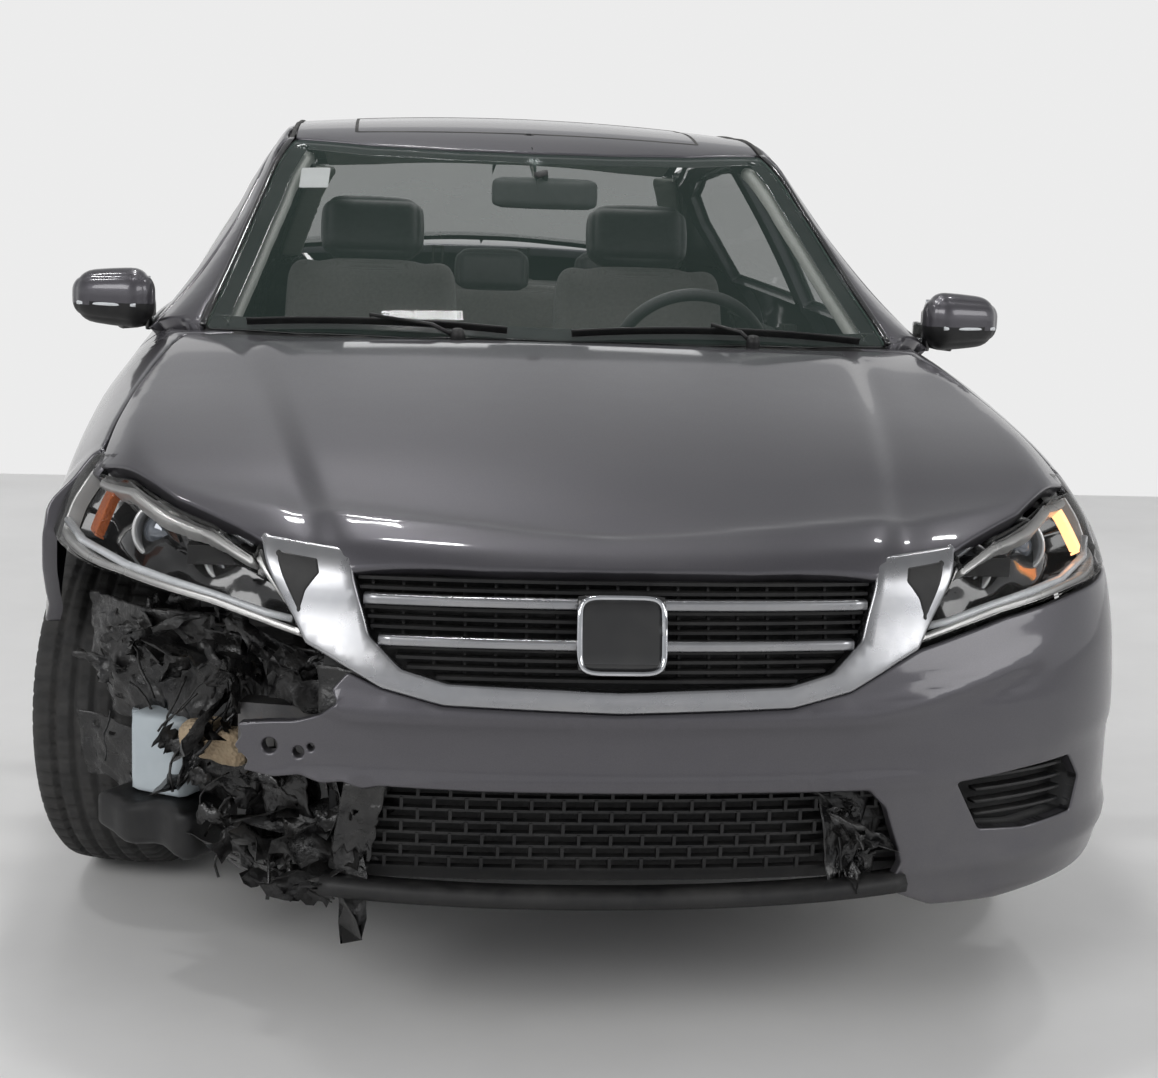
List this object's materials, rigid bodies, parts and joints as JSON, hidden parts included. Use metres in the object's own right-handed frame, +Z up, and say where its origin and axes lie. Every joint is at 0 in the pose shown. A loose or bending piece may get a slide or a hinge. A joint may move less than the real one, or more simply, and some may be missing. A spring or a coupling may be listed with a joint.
{
  "type": "crashed car",
  "caption": "Four-door saloon car with opening doors, hood and trunk lid, steered and rolling wheels, and a damaged front corner.",
  "frame": {"origin": "centre of the car's footprint at ground level, under the middle of its overall box", "axes": "+X to the car's left, +Y to the rear, +Z up; the front faces -Y"},
  "size_m": [2.0016, 4.8617, 1.4647],
  "materials": {
    "paint": "metallic dark grey paint with clear coat, dirt and scratches",
    "underbody": "satin black body coating with dust",
    "glass": "green tinted clear glass",
    "lamp": "clear moulded lens over bright reflectors",
    "tail_lamp": "red lens with clear strip",
    "black_plastic": "grained black plastic with grey dust",
    "bumper_paint": "painted plastic skin, scratched, left part torn away",
    "steel": "dull formed steel with surface rust",
    "grille_black": "black slats with bright surround",
    "trim": "soft grained interior plastic",
    "fabric": "dark grey woven seat cloth",
    "mirror": "painted cap, black base and mirror glass",
    "iron": "plain cast block with oil film",
    "tank": "translucent pale moulded plastic",
    "liner": "black felt-like moulded liner",
    "rim": "painted cast alloy with brake dust",
    "tyre": "black rubber with dust in the tread",
    "leather": "dark grained rim cover"
  },
  "bodies": {
    "root": {"floor_pan": "underbody", "body_sides": "paint", "roof_panel": "paint", "windshield": "glass", "rear_window": "glass", "front_fenders": "paint", "front_bumper": "bumper_paint", "rear_bumper": "bumper_paint", "bumper_beam": "steel", "radiator": "black_plastic", "grille": "grille_black", "headlamps": "lamp", "tail_lamps": "tail_lamp", "cowl": "black_plastic", "dashboard": "trim", "seats": "fabric", "interior_mirror": "trim", "engine_block": "iron", "subframes": "steel", "exhaust": "steel", "tanks": "tank", "wheel_liners": "liner"},
    "hood": {"hood": "paint"},
    "trunk_lid": {"trunk_lid": "paint"},
    "door_front_left": {"door_front_left": "paint", "window_front_left": "glass", "mirror_left": "mirror"},
    "door_front_right": {"door_front_right": "paint", "window_front_right": "glass", "mirror_right": "mirror"},
    "door_rear_left": {"door_rear_left": "paint", "window_rear_left": "glass"},
    "door_rear_right": {"door_rear_right": "paint", "window_rear_right": "glass"},
    "steering_wheel": {"steering_wheel": "leather"},
    "knuckle_left": {"knuckle_left": "steel"},
    "knuckle_right": {"knuckle_right": "steel"},
    "wheel_front_left": {"rim_front_left": "rim", "tyre_front_left": "tyre"},
    "wheel_front_right": {"rim_front_right": "rim", "tyre_front_right": "tyre"},
    "wheel_rear_left": {"rim_rear_left": "rim", "tyre_rear_left": "tyre"},
    "wheel_rear_right": {"rim_rear_right": "rim", "tyre_rear_right": "tyre"}
  },
  "joints": [
    {"name": "hood_hinge", "type": "hinge", "parent": "root", "child": "hood", "pos_m": [0, -1.12, 0.962], "axis": [-1, 0, 0], "range_deg": [0, 48]},
    {"name": "trunk_lid_hinge", "type": "hinge", "parent": "root", "child": "trunk_lid", "pos_m": [0, 1.79, 1.062], "axis": [1, 0, 0], "range_deg": [0, 70]},
    {"name": "door_front_left_hinge", "type": "hinge", "parent": "root", "child": "door_front_left", "pos_m": [0.903, -0.942, 0.58], "axis": [0, 0, -1], "range_deg": [0, 65]},
    {"name": "door_front_right_hinge", "type": "hinge", "parent": "root", "child": "door_front_right", "pos_m": [-0.903, -0.942, 0.58], "axis": [0, 0, 1], "range_deg": [0, 65]},
    {"name": "door_rear_left_hinge", "type": "hinge", "parent": "root", "child": "door_rear_left", "pos_m": [0.903, 0.252, 0.58], "axis": [0, 0, -1], "range_deg": [0, 65]},
    {"name": "door_rear_right_hinge", "type": "hinge", "parent": "root", "child": "door_rear_right", "pos_m": [-0.903, 0.252, 0.58], "axis": [0, 0, 1], "range_deg": [0, 65]},
    {"name": "steering_wheel_turn", "type": "hinge", "parent": "root", "child": "steering_wheel", "pos_m": [0.37, -0.6, 0.9], "axis": [0, 0.9135, 0.4067], "range_deg": [-297, 621]},
    {"name": "steer_left", "type": "hinge", "parent": "root", "child": "knuckle_left", "pos_m": [0.715, -1.47, 0.334], "axis": [0, 0, 1], "range_deg": [-22, 46]},
    {"name": "steer_right", "type": "hinge", "parent": "root", "child": "knuckle_right", "pos_m": [-0.715, -1.47, 0.334], "axis": [0, 0, 1], "range_deg": [-22, 46]},
    {"name": "wheel_front_left_spin", "type": "hinge", "parent": "knuckle_left", "child": "wheel_front_left", "pos_m": [0.79032, -1.48601, 0.334], "axis": [0.9781, -0.2079, 0], "continuous": true},
    {"name": "wheel_front_right_spin", "type": "hinge", "parent": "knuckle_right", "child": "wheel_front_right", "pos_m": [-0.79032, -1.45399, 0.334], "axis": [0.9781, -0.2079, 0], "continuous": true},
    {"name": "wheel_rear_left_spin", "type": "hinge", "parent": "root", "child": "wheel_rear_left", "pos_m": [0.792, 1.306, 0.334], "axis": [1, 0, 0], "continuous": true},
    {"name": "wheel_rear_right_spin", "type": "hinge", "parent": "root", "child": "wheel_rear_right", "pos_m": [-0.792, 1.306, 0.334], "axis": [1, 0, 0], "continuous": true}
  ],
  "couplings": [
    {"joint": "steer_right", "follows": "steer_left", "ratio": 1},
    {"joint": "steering_wheel_turn", "follows": "steer_left", "ratio": 13.5}
  ]
}
